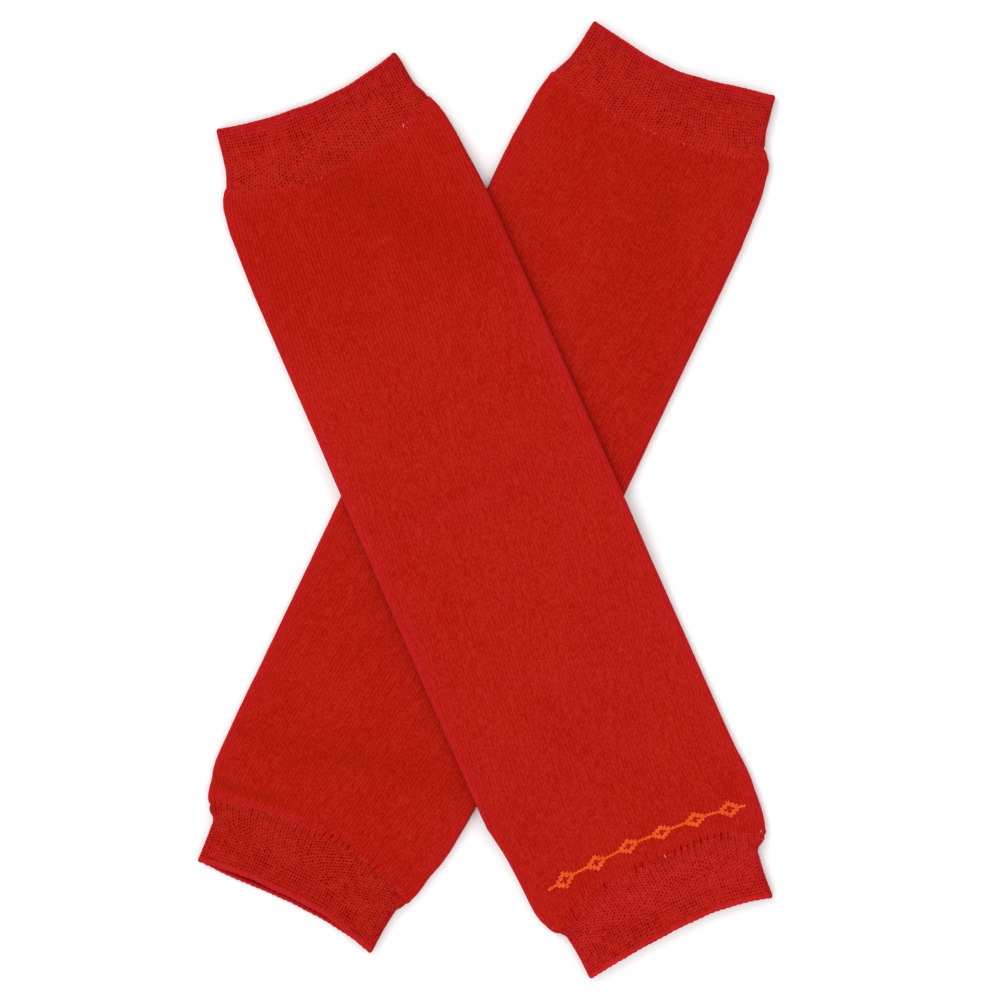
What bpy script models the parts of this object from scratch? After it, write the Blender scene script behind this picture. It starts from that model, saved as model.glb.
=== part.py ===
"""A pair of baby leg warmers, laid flat and crossed in an X.

Each warmer is three knitted tubes linked end to end: a top cuff, a leg and a bottom cuff. A tube laid
flat is a wall round a thin slit, with a round fold down each side. The over warmer lies on the under
warmer and bends up over it where they cross.

The origin is under the middle of the pair, on the surface it lies on. X is to the right, Y is up the
page and Z is up from the surface. Sizes below are in millimetres and the objects are in metres.
"""

import math

import bpy
import numpy as np


def table(columns, rows):
    """A table with named columns: a dictionary of one array for each name."""
    return dict(zip(columns.split(), np.array(rows, dtype=float).T))


MM = 0.001

# The cloth
LEG_WALL = 1.2
CUFF_WALL = 1.5
SLIT = 0.5              # the thin space left inside a tube laid flat
SEAM_GAP = 0.3          # between two tubes, along their seam
CROSSING_GAP = 0.3      # between the under warmer and the over warmer
MOUTH_GAPE = 1.0        # how far the front of the under warmer's bottom mouth lifts

# Where each warmer lies: its zero point, in the middle of its top mouth, and its lean in degrees
OVER_PLACE = (-58.8, 132.0)
OVER_LEAN = 23.8
UNDER_PLACE = (64.9, 141.9)
UNDER_LEAN = -25.2

# How the over warmer climbs the under one: it leaves the surface this far outside the under
# warmer's edge, and is fully up a little before the edge
DRAPE_START = 18.0
DRAPE_END = 2.0

# Side folds of each warmer: how far down from its zero point, and the folds' places left and right
OVER_OUTLINE = table("down left right", (
    (-4, -31.8, 32.4),
    (0, -32.6, 33.3),
    (8, -34.0, 34.2),
    (12, -35.1, 35.8),
    (16, -37.4, 37.6),
    (20, -39.7, 39.0),
    (24, -40.7, 39.8),
    (34, -41.8, 40.8),
    (62, -42.6, 42.1),
    (125, -42.8, 42.4),
    (241, -43.2, 42.8),
    (251, -41.9, 42.9),
    (261, -40.9, 43.5),
    (268, -40.5, 43.1),
    (274, -40.2, 42.6),
    (278, -39.6, 41.9),
    (281, -38.4, 41.0),
    (284, -36.9, 39.7),
    (286, -34.8, 36.4),
    (288, -33.4, 35.6),
    (304, -32.0, 34.2),
))
UNDER_OUTLINE = table("down left right", (
    (-6, -33.3, 31.3),
    (2, -34.2, 32.7),
    (10, -35.3, 34.8),
    (14, -36.5, 37.4),
    (16, -37.4, 39.0),
    (20, -39.3, 40.1),
    (34, -41.1, 41.9),
    (53, -42.0, 42.6),
    (125, -42.3, 42.3),
    (241, -42.8, 42.3),
    (251, -43.0, 41.7),
    (261, -42.9, 40.9),
    (270, -42.8, 39.7),
    (274, -42.4, 38.7),
    (278, -41.3, 37.6),
    (282, -40.5, 36.9),
    (286, -38.6, 35.6),
    (288, -37.3, 34.9),
    (290, -35.2, 33.6),
    (292, -34.8, 32.3),
    (308, -33.9, 31.0),
))

# Mouths and seams: how far down each one lies, from the left fold (-1) to the right fold (1). The
# two layers of a mouth are its front, which faces up, and its back, which lies on the surface.
OVER_EDGES = table("across top_mouth top_seam bottom_seam bottom_mouth bottom_mouth_back", (
    (-1.0, -3.6, 16.6, 284.2, 303.2, 303.2),
    (-0.6, -0.9, 22.6, 278.7, 301.4, 301.4),
    (-0.2, 0.6, 24.0, 276.2, 300.2, 300.2),
    (0.2, 1.1, 23.5, 276.0, 299.5, 299.5),
    (0.6, -0.4, 20.9, 277.2, 300.2, 300.2),
    (1.0, -3.2, 15.6, 282.0, 302.8, 302.8),
))
UNDER_EDGES = table("across top_mouth top_seam bottom_seam bottom_mouth bottom_mouth_back", (
    (-1.0, -2.4, 19.3, 284.6, 304.6, 304.6),
    (-0.6, -0.6, 21.8, 280.4, 302.9, 304.8),
    (-0.2, 0.8, 22.9, 278.8, 302.5, 304.3),
    (0.2, -0.2, 22.2, 279.0, 302.5, 304.4),
    (0.6, -2.9, 19.7, 281.8, 304.3, 305.5),
    (1.0, -5.4, 13.2, 287.0, 307.8, 307.8),
))

# Steps of the ring: across each flat panel and round each side fold
FLAT_STEPS = 12
FOLD_STEPS = 4
USUAL_HALF_WIDTH = 40.0

# Rows along each tube, and how much closer they lie at its ends (a leg) or at its seam (a cuff)
OVER_LEG_ROWS = 32
UNDER_LEG_ROWS = 20
CUFF_ROWS = 6
LEG_END_CROWDING = 0.4
CUFF_SEAM_CROWDING = 1.5

LEG_RED = (0.50, 0.012, 0.008, 1.0)
CUFF_RED = (0.45, 0.014, 0.016, 1.0)
KNIT_ROUGHNESS = 0.9
SHARP_ANGLE = 50.0


def careful_slopes(places, values):
    """Slopes at the values that never let a curve swing past them, for rows at uneven places."""
    rise = np.diff(values) / np.diff(places)
    before, after = rise[:-1], rise[1:]
    total = np.where(before * after > 0, before + after, 1.0)
    inner = np.where(before * after > 0, 2.0 * before * after / total, 0.0)
    return np.concatenate((rise[:1], inner, rise[-1:]))


def smooth_curve(at, places, values, slope):
    """The cubic curve through the values with the given slope at each."""
    step = np.diff(places)
    i = np.clip(np.searchsorted(places, at) - 1, 0, step.size - 1)
    t = np.clip((at - places[i]) / step[i], 0.0, 1.0)
    start = values[i] + t * step[i] * slope[i]
    end = values[i + 1] - (1.0 - t) * step[i] * slope[i + 1]
    blend = t * t * (3.0 - 2.0 * t)
    return start * (1.0 - blend) + end * blend


def smooth_step(t):
    """Rises from 0 to 1 with a level start and a level end."""
    t = np.clip(t, 0.0, 1.0)
    return t * t * (3.0 - 2.0 * t)


def turned(across, up, lean):
    """A direction of a warmer's own plane, turned by its lean into the pair's X and Y."""
    angle = math.radians(lean)
    x = across * math.cos(angle) - up * math.sin(angle)
    y = across * math.sin(angle) + up * math.cos(angle)
    return x, y


def outline_at(outline, down):
    """The left and right folds of a warmer at each distance down."""
    places = outline["down"]
    folds = []
    for side in ("left", "right"):
        slope = careful_slopes(places, outline[side])
        folds.append(smooth_curve(down, places, outline[side], slope))
    return folds


def edge_at(edges, name, across, front):
    """How far down a mouth or seam lies. front is 1 on the front layer and 0 on the back layer."""
    places = edges["across"]
    lines = []
    for line in (name, name + "_back"):
        values = edges.get(line, edges[name])
        lines.append(smooth_curve(across, places, values, np.gradient(values, places)))
    return lines[1] + (lines[0] - lines[1]) * front


def climb(across, down):
    """How high the under warmer holds up the over one at a place in the over warmer's plane."""
    x, y = turned(across, -down, OVER_LEAN)
    x = x + OVER_PLACE[0] - UNDER_PLACE[0]
    y = y + OVER_PLACE[1] - UNDER_PLACE[1]
    under_across, under_up = turned(x, y, -UNDER_LEAN)
    left, right = outline_at(UNDER_OUTLINE, -under_up)
    inside = np.minimum(under_across - left, right - under_across)
    share = smooth_step((inside + DRAPE_START) / (DRAPE_START - DRAPE_END))
    return share * (2.0 * LEG_WALL + SLIT + CROSSING_GAP)


def ring():
    """One turn round a flattened tube, from the foot of its right fold.

    run is a point's place between the two fold centres, from -1 to 1, and out and up say how far it
    stands out sideways and upwards, as shares of the fold's radius.
    """
    turn = np.radians(np.linspace(-90, 90, FOLD_STEPS + 1))
    flat = np.linspace(1, -1, FLAT_STEPS + 1)[1:-1]
    level = np.zeros(flat.size)
    run = np.concatenate((np.ones(turn.size), flat, -np.ones(turn.size), -flat))
    out = np.concatenate((np.cos(turn), level, -np.cos(turn), level))
    up = np.concatenate((np.sin(turn), level + 1.0, -np.sin(turn), level - 1.0))
    return run, out, up


def leg_rows(count):
    """Row places from 0 to 1, closer together at both ends."""
    x = np.linspace(0.0, 1.0, count + 1)
    return x - LEG_END_CROWDING * np.sin(2.0 * np.pi * x) / (2.0 * np.pi)


def cuff_rows(from_seam):
    """Row places from 0 to 1, closer together at the cuff's seam end."""
    x = np.linspace(0.0, 1.0, CUFF_ROWS + 1) ** CUFF_SEAM_CROWDING
    return x if from_seam else 1.0 - x[::-1]


def tube_points(warmer, ends, wall, rows):
    """The outer and the inner rings of one tube, as arrays of rows, points and coordinates."""
    run, out, up = ring()
    fold = wall + SLIT / 2.0
    share = fold / USUAL_HALF_WIDTH
    across = run * (1.0 - share) + out * share
    front = (1.0 + up) / 2.0
    first = edge_at(warmer["edges"], ends[0], across, front)
    last = edge_at(warmer["edges"], ends[1], across, front)
    first = first + (SEAM_GAP / 2.0 if "seam" in ends[0] else 0.0)
    last = last - (SEAM_GAP / 2.0 if "seam" in ends[1] else 0.0)
    down = first + (last - first) * rows[:, None]
    left, right = outline_at(warmer["outline"], down)
    gape = warmer["gape"] if ends[1] == "bottom_mouth" else 0.0
    lift = gape * front * (1.0 - across**2) * rows[:, None] ** 2
    walls = []
    for radius in (fold, fold - wall):
        x = (left + right) / 2.0 + run * ((right - left) / 2.0 - fold) + radius * out
        z = fold + radius * up + lift
        if warmer["climbs"]:
            z = z + climb(x, down)
        walls.append(np.stack((x, -down, z), axis=-1))
    return walls


def tube_faces(row_count, ring_count):
    """Four-sided faces of the outer wall, the inner wall and the two open ends of a tube."""
    grid = np.arange(row_count * ring_count).reshape(row_count, ring_count)
    turned_grid = np.roll(grid, -1, axis=1)
    inner = grid.size
    wall = np.stack((grid[:-1], turned_grid[:-1], turned_grid[1:], grid[1:]), axis=-1).reshape(-1, 4)
    faces = [wall, wall[:, ::-1] + inner]
    for row, flip in ((0, 1), (-1, -1)):
        rim = np.stack((grid[row], grid[row] + inner, turned_grid[row] + inner, turned_grid[row]), axis=-1)
        faces.append(rim[:, ::flip])
    return np.concatenate(faces)


def knit_material(name, colour):
    """A plain dull red for one tube."""
    material = bpy.data.materials.new(name)
    material.use_nodes = True
    shader = material.node_tree.nodes["Principled BSDF"]
    shader.inputs["Base Color"].default_value = colour
    shader.inputs["Roughness"].default_value = KNIT_ROUGHNESS
    shader.inputs["Metallic"].default_value = 0.0
    return material


def add_tube(name, warmer, ends, wall, rows, colour, collection):
    """One knitted tube: its wall lofted through its rings, open at both ends."""
    walls = tube_points(warmer, ends, wall, rows)
    row_count, ring_count = walls[0].shape[:2]
    points = np.concatenate([part.reshape(-1, 3) for part in walls]) * MM
    mesh = bpy.data.meshes.new(name)
    mesh.from_pydata(points.tolist(), [], tube_faces(row_count, ring_count).tolist())
    mesh.shade_smooth()
    mesh.set_sharp_from_angle(angle=math.radians(SHARP_ANGLE))
    mesh.materials.append(knit_material(name, colour))
    tube = bpy.data.objects.new(name, mesh)
    tube.parent = warmer["holder"]
    collection.objects.link(tube)


def add_warmer(name, warmer, leg_row_count, collection):
    """The three tubes of one warmer, on an empty at its zero point, turned by its lean."""
    holder = bpy.data.objects.new(name + "_warmer", None)
    holder.location = (warmer["place"][0] * MM, warmer["place"][1] * MM, 0.0)
    holder.rotation_euler = (0.0, 0.0, math.radians(warmer["lean"]))
    collection.objects.link(holder)
    warmer["holder"] = holder
    top = ("top_mouth", "top_seam")
    middle = ("top_seam", "bottom_seam")
    bottom = ("bottom_seam", "bottom_mouth")
    add_tube(name + "_top_cuff", warmer, top, CUFF_WALL, cuff_rows(False), CUFF_RED, collection)
    add_tube(name + "_leg", warmer, middle, LEG_WALL, leg_rows(leg_row_count), LEG_RED, collection)
    add_tube(name + "_bottom_cuff", warmer, bottom, CUFF_WALL, cuff_rows(True), CUFF_RED, collection)


def main():
    for old in list(bpy.data.objects):
        bpy.data.objects.remove(old, do_unlink=True)
    collection = bpy.data.collections.new("leg_warmers")
    bpy.context.scene.collection.children.link(collection)
    over = {"outline": OVER_OUTLINE, "edges": OVER_EDGES, "place": OVER_PLACE, "lean": OVER_LEAN,
            "climbs": True, "gape": 0.0}
    under = {"outline": UNDER_OUTLINE, "edges": UNDER_EDGES, "place": UNDER_PLACE, "lean": UNDER_LEAN,
             "climbs": False, "gape": MOUTH_GAPE}
    add_warmer("over", over, OVER_LEG_ROWS, collection)
    add_warmer("under", under, UNDER_LEG_ROWS, collection)
    bpy.context.view_layer.update()


main()
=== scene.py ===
# %% [markdown]
# # A pair of baby leg warmers
#
# The real things are two fine cotton tubes, knitted on a small sock machine with 144 needles. Each has
# a long plain leg and a short openwork cuff linked to either end. They lie flat and cross in an X.
#
# The pair could be made of two flat boards with a knit picture on them, but cloth gives itself away at
# its edges: the round side folds, the open mouths, the row of loops at each seam. So every tube here is
# a real wall that goes all the way round, with its columns of stitches and its holes as real relief.
# Only the single stitches of the leg, finer than the picture's pixels, are left to the material.

# %% The fixed frame
import math

import bpy
import numpy as np
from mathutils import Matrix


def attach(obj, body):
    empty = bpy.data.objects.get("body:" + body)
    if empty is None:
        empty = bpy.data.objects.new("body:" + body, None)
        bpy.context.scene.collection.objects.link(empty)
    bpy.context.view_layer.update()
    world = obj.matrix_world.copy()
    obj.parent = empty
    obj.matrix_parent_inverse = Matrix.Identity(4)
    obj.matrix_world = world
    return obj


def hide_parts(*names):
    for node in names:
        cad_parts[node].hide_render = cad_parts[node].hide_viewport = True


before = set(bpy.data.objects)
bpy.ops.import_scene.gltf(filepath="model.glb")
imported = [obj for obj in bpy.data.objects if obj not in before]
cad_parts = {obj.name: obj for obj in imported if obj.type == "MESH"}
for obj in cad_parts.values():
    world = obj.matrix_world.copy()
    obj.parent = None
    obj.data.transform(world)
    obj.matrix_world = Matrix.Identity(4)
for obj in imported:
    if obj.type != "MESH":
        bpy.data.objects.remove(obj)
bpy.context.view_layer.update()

MM = 0.001
print("nodes in the frame:", ", ".join(sorted(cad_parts)))

# %% [markdown]
# ## The shape of the cloth
#
# The frame holds six plain tubes. The cloth that stands for them has to lie exactly where they lie, so
# it is worked out from the same measurements: how thick the knit is, where each warmer's zero point
# lies and how far it leans, and how wide it is at each distance down. Lengths stay in millimetres until
# a mesh is made, because that is how a knitter would note them down.

# %% Sizes of the pair
LEG_WALL = 1.2
CUFF_WALL = 1.5
SLIT = 0.5
CROSSING_GAP = 0.3
DRAPE_START = 18.0
DRAPE_END = 2.0
MOUTH_GAPE = 1.4
USUAL_HALF_WIDTH = 40.0


def table(columns, rows):
    """A table with named columns: a dictionary of one array for each name."""
    return dict(zip(columns.split(), np.array(rows, dtype=float).T))


OVER = {
    "name": "over", "place": (-58.8, 132.0), "lean": 23.8, "climbs": True, "gape": 0.0,
    "outline": table("down left right", (
        (-4, -31.8, 32.4), (0, -32.6, 33.3), (8, -34.0, 34.2), (12, -35.1, 35.8),
        (16, -37.4, 37.6), (20, -39.7, 39.0), (24, -40.7, 39.8), (34, -41.8, 40.8),
        (62, -42.6, 42.1), (125, -42.8, 42.4), (241, -43.2, 42.8), (251, -41.9, 42.9),
        (261, -40.9, 43.5), (268, -40.5, 43.1), (274, -40.2, 42.6), (278, -39.6, 41.9),
        (281, -38.4, 41.0), (284, -36.9, 39.7), (286, -34.8, 36.4), (288, -33.4, 35.6),
        (304, -32.0, 34.2),
    )),
    "edges": table("across top_mouth top_seam bottom_seam bottom_mouth bottom_mouth_back", (
        (-1.0, -3.6, 16.6, 284.2, 303.2, 303.2),
        (-0.6, -0.9, 22.6, 278.7, 301.4, 301.4),
        (-0.2, 0.6, 24.0, 276.2, 300.2, 300.2),
        (0.2, 1.1, 23.5, 276.0, 299.5, 299.5),
        (0.6, -0.4, 20.9, 277.2, 300.2, 300.2),
        (1.0, -3.2, 15.6, 282.0, 302.8, 302.8),
    )),
}
UNDER = {
    "name": "under", "place": (64.9, 141.9), "lean": -25.2, "climbs": False, "gape": MOUTH_GAPE,
    "outline": table("down left right", (
        (-6, -33.3, 31.3), (2, -34.2, 32.7), (10, -35.3, 34.8), (14, -36.5, 37.4),
        (16, -37.4, 39.0), (20, -39.3, 40.1), (34, -41.1, 41.9), (53, -42.0, 42.6),
        (125, -42.3, 42.3), (241, -42.8, 42.3), (251, -43.0, 41.7), (261, -42.9, 40.9),
        (270, -42.8, 39.7), (274, -42.4, 38.7), (278, -41.3, 37.6), (282, -40.5, 36.9),
        (286, -38.6, 35.6), (288, -37.3, 34.9), (290, -35.2, 33.6), (292, -34.8, 32.3),
        (308, -33.9, 31.0),
    )),
    "edges": table("across top_mouth top_seam bottom_seam bottom_mouth bottom_mouth_back", (
        (-1.0, -2.4, 19.3, 284.6, 304.6, 304.6),
        (-0.6, -0.6, 21.8, 280.4, 302.9, 304.8),
        (-0.2, 0.8, 22.9, 278.8, 302.5, 304.3),
        (0.2, -0.2, 22.2, 279.0, 302.5, 304.4),
        (0.6, -2.9, 19.7, 281.8, 304.3, 305.5),
        (1.0, -5.4, 13.2, 287.0, 307.8, 307.8),
    )),
}
print("each warmer reaches", OVER["edges"]["bottom_mouth"].max(), "and",
      UNDER["edges"]["bottom_mouth"].max(), "mm down at most")

# %% [markdown]
# Between its rows a table is read as a smooth curve. The folds of a warmer have sharp little notches
# where the cuff pulls in, and a plain cubic would swing past them, so their slopes are the careful
# kind that never overshoots. Mouths and seams are gentle bows, and take plain slopes.


# %% Curves through the tables
def careful_slopes(places, values):
    """Slopes that keep a curve between its values: the harmonic mean of the two sides' rises."""
    rise = np.diff(values) / np.diff(places)
    before, after = rise[:-1], rise[1:]
    total = np.where(before * after > 0, before + after, 1.0)
    inner = np.where(before * after > 0, 2.0 * before * after / total, 0.0)
    return np.concatenate((rise[:1], inner, rise[-1:]))


def smooth_step(t):
    """3 t squared less 2 t cubed: from 0 to 1, level at both ends."""
    t = np.clip(t, 0.0, 1.0)
    return t * t * (3.0 - 2.0 * t)


def smooth_curve(at, places, values, slope):
    """The cubic through the values: two straight lines of the given slopes, blended smoothly."""
    step = np.diff(places)
    i = np.clip(np.searchsorted(places, at) - 1, 0, step.size - 1)
    t = np.clip((at - places[i]) / step[i], 0.0, 1.0)
    start = values[i] + t * step[i] * slope[i]
    end = values[i + 1] - (1.0 - t) * step[i] * slope[i + 1]
    blend = smooth_step(t)
    return start * (1.0 - blend) + end * blend


def outline_at(warmer, down):
    """The middle and half the width of a warmer at each distance down."""
    rows = warmer["outline"]
    left, right = (smooth_curve(down, rows["down"], rows[side], careful_slopes(rows["down"], rows[side]))
                   for side in ("left", "right"))
    return (left + right) / 2.0, (right - left) / 2.0


def edge_at(warmer, name, across, front):
    """How far down a mouth or seam lies; front is 1 on the layer that faces up and 0 on the other."""
    rows = warmer["edges"]
    lines = [rows.get(line, rows[name]) for line in (name + "_back", name)]
    back, up = (smooth_curve(across, rows["across"], line, np.gradient(line, rows["across"]))
                for line in lines)
    return back + (up - back) * front


def turned(x, y, lean):
    """A point turned anticlockwise by a lean in degrees."""
    c, s = math.cos(math.radians(lean)), math.sin(math.radians(lean))
    return x * c - y * s, x * s + y * c


def climb(x, down, start=DRAPE_START):
    """How high the under warmer holds up the over one, at a place in the over warmer's own plane.

    The place is turned into the under warmer's plane, where its depth inside that warmer's nearer
    edge is measured; a smooth step of that depth gives the height. start is how far outside that
    edge the cloth begins to rise.
    """
    px, py = turned(x, -down, OVER["lean"])
    under_x, under_up = turned(px + OVER["place"][0] - UNDER["place"][0],
                               py + OVER["place"][1] - UNDER["place"][1], -UNDER["lean"])
    middle, half = outline_at(UNDER, -under_up)
    inside = half - np.abs(under_x - middle)
    share = smooth_step((inside + start) / (start - DRAPE_END))
    return share * (2.0 * LEG_WALL + SLIT + CROSSING_GAP)


print("the over warmer rises", round(2.0 * LEG_WALL + SLIT + CROSSING_GAP, 1), "mm at the crossing")

# %% [markdown]
# ## One flattened tube as a surface of two parameters
#
# Seen end on, a tube laid flat is a stadium: two straight layers joined by two round folds. The first
# parameter goes round it by true length, so that stitches spaced evenly in it are evenly wide, as on
# the machine. The second goes down the tube. A third number, out, moves a point off the cloth's face,
# so that ridges, holes, seam yarn and single stitches can all be laid on by the same function.


# %% The flattened tube
def ring_place(around, half, fold):
    """Where a point lies on the stadium after going round it by a share of its length.

    The way is followed from the right fold's outermost point, over the front, round the left fold
    and back. The straight parts are taken off the length gone, and what is left is the angle turned.
    """
    flat, quarter = 2.0 * (half - fold), math.pi * fold / 2.0
    gone = np.mod(around, 1.0) * (2.0 * flat + 4.0 * quarter)
    front = np.clip((gone - quarter) / flat, 0.0, 1.0)
    back = np.clip((gone - 3.0 * quarter - flat) / flat, 0.0, 1.0)
    angle = (gone - flat * (front + back)) / fold
    return 1.0 - 2.0 * front + 2.0 * back, angle


def tube_edges(tube, around):
    """How far down a tube's first and last edges lie at each place round it, and how far across."""
    warmer, fold = tube["warmer"], tube["wall"] + SLIT / 2.0
    run, angle = ring_place(around, USUAL_HALF_WIDTH, fold)
    part = fold / USUAL_HALF_WIDTH
    across = run * (1.0 - part) + np.cos(angle) * part
    front = (1.0 + np.sin(angle)) / 2.0
    first = edge_at(warmer, tube["ends"][0], across, front) + tube["inset"][0]
    last = edge_at(warmer, tube["ends"][1], across, front) - tube["inset"][1]
    return first, last, across


def lay_tube(tube, around, share, slide=0.0, out=0.0):
    """Points of a tube in the pair's own frame, in millimetres.

    share goes from the tube's first edge to its last, slide moves a point further down in
    millimetres, and out moves it off the cloth's outer face.
    """
    warmer, fold = tube["warmer"], tube["wall"] + SLIT / 2.0
    first, last, across = tube_edges(tube, around)
    down = first + (last - first) * share + slide
    middle, half = outline_at(warmer, down)
    run, angle = ring_place(around, half, fold)
    x = middle + run * (half - fold) + (fold + out) * np.cos(angle)
    z = fold + (fold + out) * np.sin(angle)
    z = z + tube["lift"](x - middle, down, across, share) * np.clip(np.sin(angle), 0.0, 1.0)
    z = np.maximum(z, 0.0)
    if warmer["climbs"]:
        z = z + climb(x, down)
    px, py = turned(x, -down, warmer["lean"])
    return np.stack(np.broadcast_arrays(px + warmer["place"][0], py + warmer["place"][1], z), axis=-1)


def uneven(seed, u, v, cells_u, cells_v):
    """Smooth unevenness from -1 to 1: random heights on a coarse grid that wraps in u, with smooth
    steps between them. u runs from 0 to 1 round the tube and v from 0 to 1 down it."""
    heights = np.random.default_rng(seed).uniform(-1.0, 1.0, (cells_u, cells_v + 2))
    gu, gv = np.mod(u, 1.0) * cells_u, np.clip(v, 0.0, 1.0) * cells_v
    i, j = np.floor(gu).astype(int), np.floor(gv).astype(int)
    tu, tv = smooth_step(gu - i), smooth_step(gv - j)
    i0, i1 = i % cells_u, (i + 1) % cells_u
    near = heights[i0, j] * (1 - tu) + heights[i1, j] * tu
    far = heights[i0, j + 1] * (1 - tu) + heights[i1, j + 1] * tu
    return near * (1 - tv) + far * tv


leg_fold = LEG_WALL + SLIT / 2.0
print("a leg is about", round(4.0 * (USUAL_HALF_WIDTH - leg_fold) + 2.0 * math.pi * leg_fold), "mm round")

# %% [markdown]
# ## From arrays to meshes
#
# A grid whose rows and columns both come back to their start is a closed body with no seam at all,
# which suits a wall: the rows run down the outside of the tube, round the lip, up the inside and round
# the other lip. The sign of its volume says whether its faces point outwards. Every grid gets two maps:
# one counts stitches, for the material, and one lies flat in the unit square without overlaps.


# %% Mesh helpers
def signed_volume(points, faces):
    """Six times the volume between the origin and the faces, each cut into triangles like a fan."""
    total = 0.0
    for part in faces:
        a = points[part[:, 0]]
        for i in range(1, part.shape[1] - 1):
            total += float((a * np.cross(points[part[:, i]], points[part[:, i + 1]])).sum())
    return total


def mesh_piece(name, points, faces, material, replaced=()):
    """A smooth mesh from points in millimetres and arrays of faces, riding on the only body."""
    mesh = bpy.data.meshes.new(name)
    mesh.from_pydata((points * MM).tolist(), [], [face for part in faces for face in part.tolist()])
    mesh.shade_smooth()
    mesh.materials.append(material)
    piece = bpy.data.objects.new(name, mesh)
    bpy.context.scene.collection.objects.link(piece)
    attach(piece, "root")
    if replaced:
        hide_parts(*replaced)
    triangles = sum((part.shape[1] - 2) * len(part) for part in faces)
    print(name, "has", len(points), "points and", triangles, "triangles")
    return piece


def ring_grid_faces(rows, columns):
    """Four-sided faces of a grid that closes both ways, with each corner's row and column."""
    r, c = (a.ravel() for a in np.meshgrid(np.arange(rows), np.arange(columns), indexing="ij"))
    corner_row = np.stack((r, r, r + 1, r + 1), axis=1)
    corner_column = np.stack((c, c + 1, c + 1, c), axis=1)
    return (corner_row % rows) * columns + corner_column % columns, corner_row, corner_column


def add_map(piece, name, u, v):
    """A UV map from one pair of values for each corner of each face."""
    layer = piece.data.uv_layers.new(name=name)
    layer.uv.foreach_set("vector", np.stack((u.ravel(), v.ravel()), axis=1).astype(np.float32).ravel())


def add_number(piece, name, values):
    """A number for each point, for the material to read."""
    attribute = piece.data.attributes.new(name, "FLOAT", "POINT")
    attribute.data.foreach_set("value", np.asarray(values, dtype=np.float32).ravel())


print("meshes are made from whole arrays")

# %% [markdown]
# ## Yarn colours and materials
#
# Matt cotton scatters light in all directions and has a faint bloom of fibre ends at grazing angles,
# which is what the sheen is for. A knit is never one flat colour: each stitch's crown is painted lighter
# and the gap beside it darker, as painted light and shade, and the dye is a little uneven. The stitches
# are drawn by arithmetic on the map that counts them: a zigzag of columns and courses gives the two legs
# of every V. How deep a point lies in the knit comes from the mesh as a number, for the painted shade,
# because the mesh knows where its own gaps are.


# %% Node helpers
def new_material(name, colour, roughness, sheen):
    """A matt cotton material and its shader, with the values that are the same all over."""
    material = bpy.data.materials.new(name)
    material.use_nodes = True
    material.diffuse_color = (*colour, 1.0)
    shader = material.node_tree.nodes["Principled BSDF"]
    shader.inputs["Base Color"].default_value = (*colour, 1.0)
    shader.inputs["Roughness"].default_value = roughness
    shader.inputs["Specular IOR Level"].default_value = 0.02
    shader.inputs["Sheen Weight"].default_value = sheen
    shader.inputs["Sheen Roughness"].default_value = 0.4
    shader.inputs["Sheen Tint"].default_value = (1.0, 0.22, 0.26, 1.0)
    return material, shader


class Graph:
    """Short ways to add nodes to one material."""

    def __init__(self, material):
        self.nodes = material.node_tree.nodes
        self.links = material.node_tree.links

    def feed(self, socket, value):
        """Links an output to a socket, or sets the socket to a plain value."""
        if isinstance(value, bpy.types.NodeSocket):
            self.links.new(value, socket)
        else:
            socket.default_value = value

    def math(self, operation, a, b=0.0):
        """One step of arithmetic."""
        node = self.nodes.new("ShaderNodeMath")
        node.operation = operation
        for socket, value in zip(node.inputs, (a, b)):
            self.feed(socket, value)
        return node.outputs[0]

    def weighted(self, *pairs):
        """A sum of values, each times its weight."""
        total = None
        for value, weight in pairs:
            part = self.math("MULTIPLY", value, weight)
            total = part if total is None else self.math("ADD", total, part)
        return total

    def vector(self, x, y):
        """Two values as one vector."""
        node = self.nodes.new("ShaderNodeCombineXYZ")
        self.feed(node.inputs["X"], x)
        self.feed(node.inputs["Y"], y)
        return node.outputs[0]

    def chance(self, x, y):
        """A value from 0 to 1 that is the same for equal x and y and else has nothing to do with them."""
        node = self.nodes.new("ShaderNodeTexWhiteNoise")
        node.noise_dimensions = "2D"
        self.feed(node.inputs["Vector"], self.vector(x, y))
        return node.outputs["Value"]

    def noise(self, vector, scale, detail):
        """Soft noise from 0 to 1."""
        node = self.nodes.new("ShaderNodeTexNoise")
        self.feed(node.inputs["Vector"], vector)
        node.inputs["Scale"].default_value = scale
        node.inputs["Detail"].default_value = detail
        return node.outputs["Fac"]

    def ramp(self, value, low, high):
        """A value moved from the range low to high into the range 0 to 1, and kept there."""
        node = self.nodes.new("ShaderNodeMapRange")
        self.feed(node.inputs["Value"], value)
        node.inputs["From Min"].default_value = low
        node.inputs["From Max"].default_value = high
        return node.outputs["Result"]

    def mix(self, share, a, b, way="MIX"):
        """One colour blended into another, or multiplied by it."""
        node = self.nodes.new("ShaderNodeMix")
        node.data_type = "RGBA"
        node.blend_type = way
        self.feed(node.inputs["Factor"], share)
        self.feed(node.inputs["A"], a)
        self.feed(node.inputs["B"], b)
        return node.outputs["Result"]

    def number(self, name):
        """A number that the mesh carries."""
        node = self.nodes.new("ShaderNodeAttribute")
        node.attribute_name = name
        return node.outputs["Fac"]

    def bump(self, height, distance, strength):
        """A normal bent by a height."""
        node = self.nodes.new("ShaderNodeBump")
        node.inputs["Distance"].default_value = distance
        node.inputs["Strength"].default_value = strength
        self.feed(node.inputs["Height"], height)
        return node.outputs["Normal"]


print("matt cotton, with stitches drawn on the map that counts them")
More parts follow.
